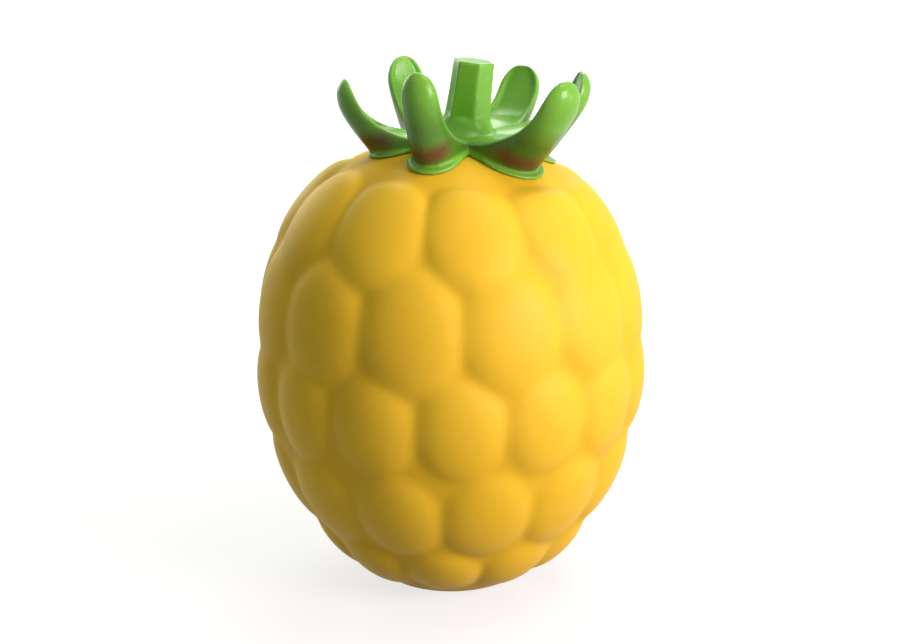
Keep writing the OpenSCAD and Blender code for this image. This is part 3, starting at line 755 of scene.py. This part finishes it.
def wrapped_cell():
    """Shrink-wrapped cell: bare steel at its two ends, a pale band near the top of the wrap."""
    finish, tree, shader = finish_of("wrapped cell")
    height = knot(tree, "SeparateXYZ", {0: knot(tree, "TexCoord").outputs["Object"]}).outputs["Z"]
    top = ranged(tree, height, CELL_TOP - 1.2 * MM, CELL_TOP - 1.0 * MM, 0, 1)
    foot = ranged(tree, height, CELL_FOOT + 0.5 * MM, CELL_FOOT + 0.7 * MM, 1, 0)
    bare = knot(tree, "Math", {0: top, 1: foot}, operation="MAXIMUM").outputs[0]
    band = ranged(tree, height, CELL_TOP - 10.2 * MM, CELL_TOP - 10 * MM, 0, 1)
    skin = placed(tree, MOULDED_SKIN, color=(0.06, 0.20, 0.42), cloud_color=(0.05, 0.16, 0.35),
                  cloud_size=0.01, roughness=0.22, gloss_spread=0.12, grain_size=0.0008)
    wrap = blended(tree, band, skin["Color"], (0.62, 0.63, 0.60))
    color = blended(tree, bare, wrap, (0.66, 0.66, 0.64))
    edged = placed(tree, RUBBED_EDGES, color=color, rubbed_color=(0.8, 0.8, 0.78), amount=0.4)
    join(tree, edged["Color"], shader.inputs["Base Color"])
    join(tree, bare, shader.inputs["Metallic"])
    join(tree, skin["Roughness"], shader.inputs["Roughness"])
    raised(tree, shader, skin["Height"], 0.00003)
    return finish


# Sizes inside the shade: the ring of fittings and the heights of what stands on it
FITTINGS_R = 18.66 * MM
FOOT_ANGLES = (0, 120, 240)
SCREW_ANGLES = (40, 160, 280)
BUTTON_ANGLE = 80
POST_TURN = 19
BASE_SCREW_SEAT = 3.1 * MM
BOARD_TOP = 12.4 * MM
LIGHT_TOP = 65.95 * MM
LIGHT_SCREW_X = 17.51 * MM
CHIP_RING_R = 13.51 * MM
CELL_RING_R = 6.06 * MM
CELL_ANGLES = (30, 150, 270)
CELL_FOOT = 14.95 * MM
CELL_TOP = 59.25 * MM
CELL_SPRING_Z = 11.95 * MM
CONTACT_Z = 61.05 * MM
CAP_SPRING_Z = 7.35 * MM

# Two slots that tell a rounded edge from the faces beside it, until the piece gets its finish
EDGE_SLOTS = [bpy.data.materials.new(name) for name in ("face", "edge")]


# Pieces inside the shade

def on_ring(angle, r, z=0.0, across=0.0):
    """Place on a circle round the axis, with a step across it."""
    turn = math.radians(angle)
    return (r * math.cos(turn) - across * math.sin(turn), r * math.sin(turn) + across * math.cos(turn), z)


def softened(node, width=0.3 * MM):
    """A cleaned copy of a solid, with its sharp edges rounded over and marked."""
    piece = bpy.data.objects.new("smooth_" + node, frame["nodes"][node].data.copy())
    bpy.context.collection.objects.link(piece)
    take_up(piece)
    bpy.ops.object.mode_set(mode="EDIT")
    bpy.ops.mesh.select_all(action="SELECT")
    bpy.ops.mesh.customdata_custom_splitnormals_clear()
    bpy.ops.mesh.remove_doubles(threshold=1e-6)
    bpy.ops.mesh.dissolve_limited(angle_limit=math.radians(1))
    set_down()
    piece.data.materials.clear()
    for slot in EDGE_SLOTS:
        piece.data.materials.append(slot)
    worked(piece, "BEVEL", width=width, segments=2, limit_method="ANGLE", angle_limit=math.radians(40),
           material=1)
    rim = piece.data.attributes.new("edge", "FLOAT", "FACE")
    rim.data.foreach_set("value", [float(face.material_index) for face in piece.data.polygons])
    piece.data.polygons.foreach_set("material_index", [0] * len(piece.data.polygons))
    take_up(piece)
    bpy.ops.object.shade_smooth_by_angle(angle=math.radians(25))
    return piece


def spread(piece, places, flip=False):
    """Copies a piece to each place, head down where it is flipped, and joins the copies."""
    copies = []
    for place in places:
        one = copy_of(piece)
        one.rotation_euler = (math.pi if flip else 0, 0, 0)
        one.location = place
        settle(one)
        copies.append(one)
    thrown_away(piece)
    return joined(copies) if len(copies) > 1 else copies[0]


def pan_screw(r, length, head_r, head_h):
    """Screw with its point up: domed head with a cross recess, grooved shank and a blunt point."""
    steps = [(-head_h, 0.5 * head_r), (-0.86 * head_h, 0.8 * head_r), (-0.5 * head_h, 0.97 * head_r),
             (-0.2 * head_h, head_r), (-0.02 * head_h, head_r), (0, 0.9 * r)]
    pitch = 0.6 * r
    turns = int((length - 1.2 * r) / pitch)
    for k in range(turns):
        low = 0.2 * r + k * pitch
        steps += [(low, 0.78 * r), (low + 0.5 * pitch, r)]
    steps += [(length - 0.7 * r, 0.78 * r), (length, 0.2 * r)]
    screw = ringed(32, [(z, max(radius, 0.05 * MM)) for z, radius in steps])
    bits = []
    for turn in (0, math.pi / 2):
        set_down()
        bpy.ops.mesh.primitive_cube_add(size=1, location=(0, 0, -head_h))
        bit = bpy.context.object
        bit.scale = (1.2 * head_r, 0.26 * head_r, 1.1 * head_h)
        bit.rotation_euler = (0, 0, turn)
        settle(bit)
        bits.append(bit)
    for bit in bits:
        worked(screw, "BOOLEAN", object=bit, operation="DIFFERENCE", solver="EXACT")
        thrown_away(bit)
    take_up(screw)
    bpy.ops.object.shade_smooth_by_angle(angle=math.radians(35))
    return screw


def coil(r, height, turns, wire):
    """Spring wound from round wire, standing on z = 0."""
    set_down()
    bpy.ops.mesh.primitive_circle_add(vertices=12, radius=wire / 2, location=(r - wire / 2, 0, wire / 2),
                                      rotation=(math.pi / 2, 0, 0))
    spring = bpy.context.object
    settle(spring)
    worked(spring, "SCREW", axis="Z", angle=2 * math.pi, iterations=turns, steps=28, render_steps=28,
           screw_offset=(height - wire) / turns, use_merge_vertices=False)
    bpy.ops.object.mode_set(mode="EDIT")
    bpy.ops.mesh.select_all(action="SELECT")
    bpy.ops.mesh.fill_holes(sides=0)
    set_down()
    outward(spring)
    take_up(spring)
    bpy.ops.object.shade_smooth_by_angle(angle=math.radians(50))
    return spring


def turned(corners, steps, angle=40):
    """A turned piece from heights and radii in millimetres, smooth but for its sharp corners."""
    piece = ringed(corners, [(z * MM, r * MM) for z, r in steps])
    take_up(piece)
    bpy.ops.object.shade_smooth_by_angle(angle=math.radians(angle))
    return piece


def foot_pads():
    """Pads with a rounded lower edge and a shallow ring."""
    pad = turned(48, ((0, 2.0), (0.35, 2.2), (0.35, 2.6), (0, 2.8), (0, 3.2), (0.15, 3.5), (0.4, 3.6),
                      (2.2, 3.6)))
    return spread(pad, [on_ring(angle, FITTINGS_R) for angle in FOOT_ANGLES])


def battery_cell(angle):
    """Cell with its wrap turned over the ends, a crimp under the shoulder and the raised button."""
    cell = turned(48, ((0, 3.6), (0.15, 3.9), (0.15, 4.4), (0, 4.7), (0.1, 5.0), (0.4, 5.2), (42.6, 5.2),
                       (43.0, 5.05), (43.3, 5.2), (43.9, 5.1), (44.2, 4.8), (44.3, 4.3), (44.05, 3.9),
                       (44.1, 2.1), (44.3, 1.9), (45.7, 1.9), (46.0, 1.7), (46.1, 1.2)), 50)
    return spread(cell, [on_ring(angle, CELL_RING_R, CELL_FOOT)])


def contact_pads():
    """Stamped pads with a raised rim and a dimple for the cell."""
    pad = turned(40, ((0, 1.2), (0.25, 1.7), (0.25, 2.6), (0, 2.9), (0.1, 3.15), (0.3, 3.2), (0.8, 3.2)))
    return spread(pad, [on_ring(angle, CELL_RING_R, CONTACT_Z) for angle in CELL_ANGLES])


def light_chips():
    """Chips with a sunk round-cornered window over the glowing layer."""
    set_down()
    bpy.ops.mesh.primitive_cube_add(size=1, location=(0, 0, 0.4 * MM))
    chip = bpy.context.object
    chip.scale = (3.5 * MM, 2.8 * MM, 0.8 * MM)
    settle(chip)
    worked(chip, "BEVEL", width=0.12 * MM, segments=2)
    pick(chip, lambda face: face.normal.z > 0.9 and face.center.z > 0.7 * MM, "FACE")
    bpy.ops.mesh.inset(thickness=0.35 * MM)
    bpy.ops.mesh.extrude_region_move(TRANSFORM_OT_translate={"value": (0, 0, -0.15 * MM)})
    bpy.ops.transform.resize(value=(0.9, 0.9, 1), center_override=(0, 0, 0))
    set_down()
    chips = []
    for angle in range(30, 360, 60):
        one = copy_of(chip)
        one.rotation_euler = (0, 0, math.radians(angle))
        one.location = on_ring(angle, CHIP_RING_R, LIGHT_TOP)
        settle(one)
        chips.append(one)
    thrown_away(chip)
    return joined(chips)


def lead(side):
    """Insulated lead, bared and tinned at both ends, with a slight bow between them."""
    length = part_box("switch_lead_red")[1].z - BOARD_TOP
    bare, core, cover = 1.4 * MM, 0.42 * MM, 0.7 * MM
    steps = [(0, 0.55 * MM), (0.7 * MM, 0.45 * MM), (bare, core), (bare, 0.66 * MM), (1.8 * MM, cover)]
    steps += [(1.8 * MM + (length - 3.6 * MM) * k / 12, cover) for k in range(1, 13)]
    steps += [(length - bare, 0.66 * MM), (length - bare, core), (length, core)]
    wire = ringed(16, steps)
    for v in wire.data.vertices:
        v.co.x += 0.4 * MM * math.sin(math.pi * v.co.z / length)
    take_up(wire)
    bpy.ops.object.shade_smooth_by_angle(angle=math.radians(40))
    return spread(wire, [on_ring(BUTTON_ANGLE, FITTINGS_R, BOARD_TOP, side * 1.6 * MM)])


def button():
    """Push button with a dished, rounded end and a collar that keeps it in."""
    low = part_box("power_button")[0].z
    knob = turned(48, ((0.35, 0.6), (0.2, 1.3), (0.02, 1.8), (0, 2.0), (0.15, 2.22), (0.4, 2.3), (4.5, 2.3),
                       (4.5, 2.95), (4.65, 3.1), (5.25, 3.1), (5.4, 2.9)))
    return spread(knob, [on_ring(BUTTON_ANGLE, FITTINGS_R, low)])


def plunger():
    """Rounded rod between the button and the switch."""
    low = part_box("switch_plunger")[0].z
    rod = turned(32, ((0, 1.3), (0.15, 1.52), (0.4, 1.6), (2.1, 1.6), (2.3, 1.45), (2.4, 1.2)))
    return spread(rod, [on_ring(BUTTON_ANGLE, FITTINGS_R, low)])


# Dressing: each made piece stands for its solid and moves with that solid's body

def body_of(node):
    """Name of the body that a solid moves with."""
    groups = frame["record"]["behaviour"]["bodies"]
    return next(name for name, members in groups.items() if node in members)


def slot_of(node):
    """A solid's material slot in the record."""
    return next(part["material_slot"] for part in frame["record"]["subparts"] if part["node"] == node)


def dress(piece, node, finish):
    """Puts a finished piece in the place of its solid."""
    piece.name = "made_" + node
    wear(piece, finish)
    slot_of(node)
    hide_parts(node)
    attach(piece, body_of(node))


def dress_fruit():
    """The shade's two pieces that show from outside."""
    body = fruit_body()
    # Groove depth, which the yellow vinyl uses for painted shade and a duller gloss in the grooves
    mark(body, "groove", groove_share)
    mark(body, "edge", lambda v: 1 - abs(v.co.z - FOOT_Z) / (2 * MM))
    dress(body, "fruit_shell", yellow_vinyl())
    crown = leaf_crown()
    # Where the painted reflection of the orange body lies on the leaves
    mark(crown, "painted_reflection", body_reflection_share)
    # Where the darker spray, partly painted shade, lies on the leaves' backs
    mark(crown, "back", back_share)
    mark(crown, "edge", edge_share(crown))
    dress(crown, "leaf_crown", green_vinyl())


def dress_inside():
    """The mouth ring, the lamp base and all that they carry."""
    white = moulded("white plastic", (0.56, 0.56, 0.53), (0.51, 0.51, 0.47), 0.4, (0.66, 0.66, 0.64))
    black = moulded("black plastic", (0.022, 0.022, 0.024), (0.03, 0.03, 0.032), 0.34, (0.10, 0.10, 0.10))
    opal = moulded("opal plastic", (0.62, 0.59, 0.50), (0.57, 0.54, 0.45), 0.38, (0.72, 0.70, 0.64), 0.3,
                   subsurface_weight=0.25, subsurface_scale=0.004)
    rubber = moulded("dark rubber", (0.03, 0.03, 0.03), (0.045, 0.044, 0.042), 0.72, (0.12, 0.12, 0.11),
                     grain=0.0004)
    seal = moulded("red rubber", (0.42, 0.05, 0.03), (0.36, 0.04, 0.025), 0.5, (0.6, 0.2, 0.15))
    orange = moulded("orange plastic", (0.78, 0.27, 0.03), (0.70, 0.22, 0.02), 0.3, (0.90, 0.5, 0.2))
    red = moulded("red lead", (0.50, 0.03, 0.025), (0.42, 0.02, 0.02), 0.42, (0.7, 0.3, 0.25))
    dark = moulded("black lead", (0.02, 0.02, 0.02), (0.035, 0.035, 0.035), 0.42, (0.12, 0.12, 0.12))
    glow = moulded("light chip", (0.85, 0.60, 0.10), (0.80, 0.52, 0.07), 0.25, (0.92, 0.88, 0.7), 0.7, 0.0003)
    steel = brushed("zinc plate", (0.62, 0.62, 0.60), (0.50, 0.50, 0.49), 0.22)
    brass = brushed("brass", (0.70, 0.50, 0.20), (0.58, 0.40, 0.15), 0.24)
    white_board = circuit_board("white board", (0.80, 0.80, 0.77), (0.66, 0.66, 0.60))
    green_board = circuit_board("green board", (0.02, 0.17, 0.06), (0.05, 0.30, 0.12))
    cell = wrapped_cell()

    for node in ("base_plate", "lamp_column", "mouth_ring"):
        dress(softened(node), node, white)
    for node, width, finish in (
        ("battery_cap", 0.25, white), ("battery_carrier", 0.2, black), ("switch_body", 0.25, black),
        ("diffuser", 0.25, opal), ("crown_washer", 0.15, steel), ("led_board", 0.1, white_board),
        ("switch_board", 0.1, green_board), ("cap_seal", 0.02, seal),
    ):
        dress(softened(node, width * MM), node, finish)

    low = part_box("crown_screw")[0].z
    dress(spread(pan_screw(2 * MM, 11 * MM, 4 * MM, 2.4 * MM), [(CROWN_X, 0, low + 2.4 * MM)]),
          "crown_screw", steel)
    dress(spread(pan_screw(1.3 * MM, 7 * MM, 2.4 * MM, 1.7 * MM),
                 [on_ring(angle, FITTINGS_R, BASE_SCREW_SEAT) for angle in SCREW_ANGLES]),
          "base_screws", steel)
    posts = (BUTTON_ANGLE - POST_TURN, BUTTON_ANGLE + POST_TURN)
    dress(spread(pan_screw(0.9 * MM, 5 * MM, 1.6 * MM, 1.1 * MM),
                 [on_ring(angle, FITTINGS_R, BOARD_TOP) for angle in posts], True),
          "board_screws", steel)
    dress(spread(pan_screw(1.1 * MM, 3.4 * MM, 2.1 * MM, 1.5 * MM),
                 [(side * LIGHT_SCREW_X, 0, LIGHT_TOP) for side in (-1, 1)], True),
          "led_screws", steel)

    dress(spread(coil(2.8 * MM, 3 * MM, 3, 0.5 * MM),
                 [on_ring(angle, CELL_RING_R, CELL_SPRING_Z) for angle in CELL_ANGLES]),
          "cell_springs", steel)
    dress(spread(coil(7 * MM, 2.85 * MM, 3, 0.7 * MM), [(0, 0, CAP_SPRING_Z)]), "cap_spring", steel)
    for number, angle in enumerate(CELL_ANGLES, 1):
        dress(battery_cell(angle), f"battery_cell_{number}", cell)
    dress(contact_pads(), "battery_contacts", brass)
    dress(light_chips(), "led_chips", glow)
    dress(foot_pads(), "rubber_feet", rubber)
    dress(lead(1), "switch_lead_red", red)
    dress(lead(-1), "switch_lead_black", dark)
    dress(button(), "power_button", orange)
    dress(plunger(), "switch_plunger", white)


# Floor: its own colour, and the glow that the camera sees from near the fruit to far away
FLOOR_COLOR = (0.26, 0.26, 0.26)
FLOOR_NEAR, FLOOR_FAR = 0.35, 1.6
FLOOR_GLOW = (0.74, 0.95)

# Soft surroundings: greener in the shade, pinker towards the key light, and white where they show
BRIGHT_SIDE = (0.8, -0.25, 0.55)
DIM_COLOR = (0.31, 0.36, 0.22)
BRIGHT_COLOR = (0.33, 0.29, 0.33)
BACKDROP_COLOR = (1, 1, 1)

# Lamps: name, place, width, power and colour; all face one point in the fruit
LAMP_AIM = Vector((0, 0, 0.12))
LAMPS = (
    ("key_light", (0.93, -0.66, 0.46), 0.5, 15, (1, 0.85, 0.93)),
    ("right_light", (1.05, -0.1, 0.14), 0.25, 1.1, (1, 0.75, 0.92)),
    ("top_light", (0.35, -0.1, 1.0), 0.35, 2.8, (1, 0.95, 0.92)),
    ("back_light", (0.12, 1.0, 1.05), 0.9, 10, (0.94, 1, 0.9)),
    ("left_light", (-0.7, 1.0, 0.5), 0.6, 3.2, (1, 0.98, 0.88)),
)

# Camera, fitted to the photograph: aim, distance, angle above level and roll, then sizes in picture points
CAMERA_AIM = Vector((0, 0, 0.109))
CAMERA_FAR = 0.85
CAMERA_UP = math.radians(17)
CAMERA_ROLL = math.radians(-0.8)
SENSOR_W = 36
PICTURE_W = 900
FOCAL_POINTS = 1803
SHIFT_POINTS = 29.9


# Floor, light and camera

def studio():
    """White floor, soft surroundings that look white, lamps and the camera."""
    set_down()
    bpy.ops.mesh.primitive_plane_add(size=40, location=(0, 0, 0))
    floor = bpy.context.object
    floor.name = "pale_floor"
    finish, tree, shader = finish_of("pale floor", base_color=FLOOR_COLOR, roughness=0.9,
                                     emission_color=(1, 1, 1))
    away = knot(tree, "VectorMath", {0: knot(tree, "TexCoord").outputs["Object"]}, operation="LENGTH")
    glow = ranged(tree, away.outputs["Value"], FLOOR_NEAR, FLOOR_FAR, *FLOOR_GLOW)
    shown = knot(tree, "Math", {0: glow, 1: seen_share(tree)}, operation="MULTIPLY").outputs[0]
    join(tree, shown, shader.inputs["Emission Strength"])
    wear(floor, finish)

    world = bpy.data.worlds.new("studio")
    bpy.context.scene.world = world
    world.use_nodes = True
    tree = world.node_tree
    look = knot(tree, "TexCoord").outputs["Generated"]
    towards = knot(tree, "VectorMath", {0: look, 1: BRIGHT_SIDE}, operation="DOT_PRODUCT").outputs["Value"]
    lit = blended(tree, ranged(tree, towards, -0.8, 1, 0, 1), DIM_COLOR, BRIGHT_COLOR)
    shown = blended(tree, seen_share(tree), lit, BACKDROP_COLOR)
    join(tree, shown, tree.nodes["Background"].inputs["Color"])

    for name, place, size, power, color in LAMPS:
        lamp(name, place, size, power, color)

    arm = Vector((0, -CAMERA_FAR * math.cos(CAMERA_UP), CAMERA_FAR * math.sin(CAMERA_UP)))
    bpy.ops.object.camera_add(location=CAMERA_AIM + arm)
    camera = bpy.context.object
    facing = (CAMERA_AIM - camera.location).to_track_quat("-Z", "Y")
    roll = Matrix.Rotation(CAMERA_ROLL, 3, "Z").to_quaternion()
    camera.rotation_euler = (facing @ roll).to_euler()
    camera.data.sensor_width = SENSOR_W
    camera.data.lens = FOCAL_POINTS / PICTURE_W * SENSOR_W
    camera.data.shift_y = SHIFT_POINTS / PICTURE_W
    bpy.context.scene.camera = camera
    bpy.context.scene.view_settings.view_transform = "Standard"


def seen_share(tree):
    """1 where the camera, a reflection or a clear piece shows it, and 0 where it only gives light."""
    path = knot(tree, "LightPath").outputs
    seen = knot(tree, "Math", {0: path["Is Camera Ray"], 1: path["Is Glossy Ray"]}, operation="MAXIMUM")
    through = knot(tree, "Math", {0: seen.outputs[0], 1: path["Is Transmission Ray"]}, operation="MAXIMUM")
    return through.outputs[0]


def lamp(name, place, size, power, color):
    """Square soft lamp that faces the fruit."""
    bpy.ops.object.light_add(type="AREA", location=place)
    light = bpy.context.object
    light.name = name
    light.visible_camera = False
    light.data.size = size
    light.data.energy = power
    light.data.color = color
    light.rotation_euler = (LAMP_AIM - Vector(place)).to_track_quat("-Z", "Y").to_euler()


dress_fruit()
dress_inside()
studio()

set_down()
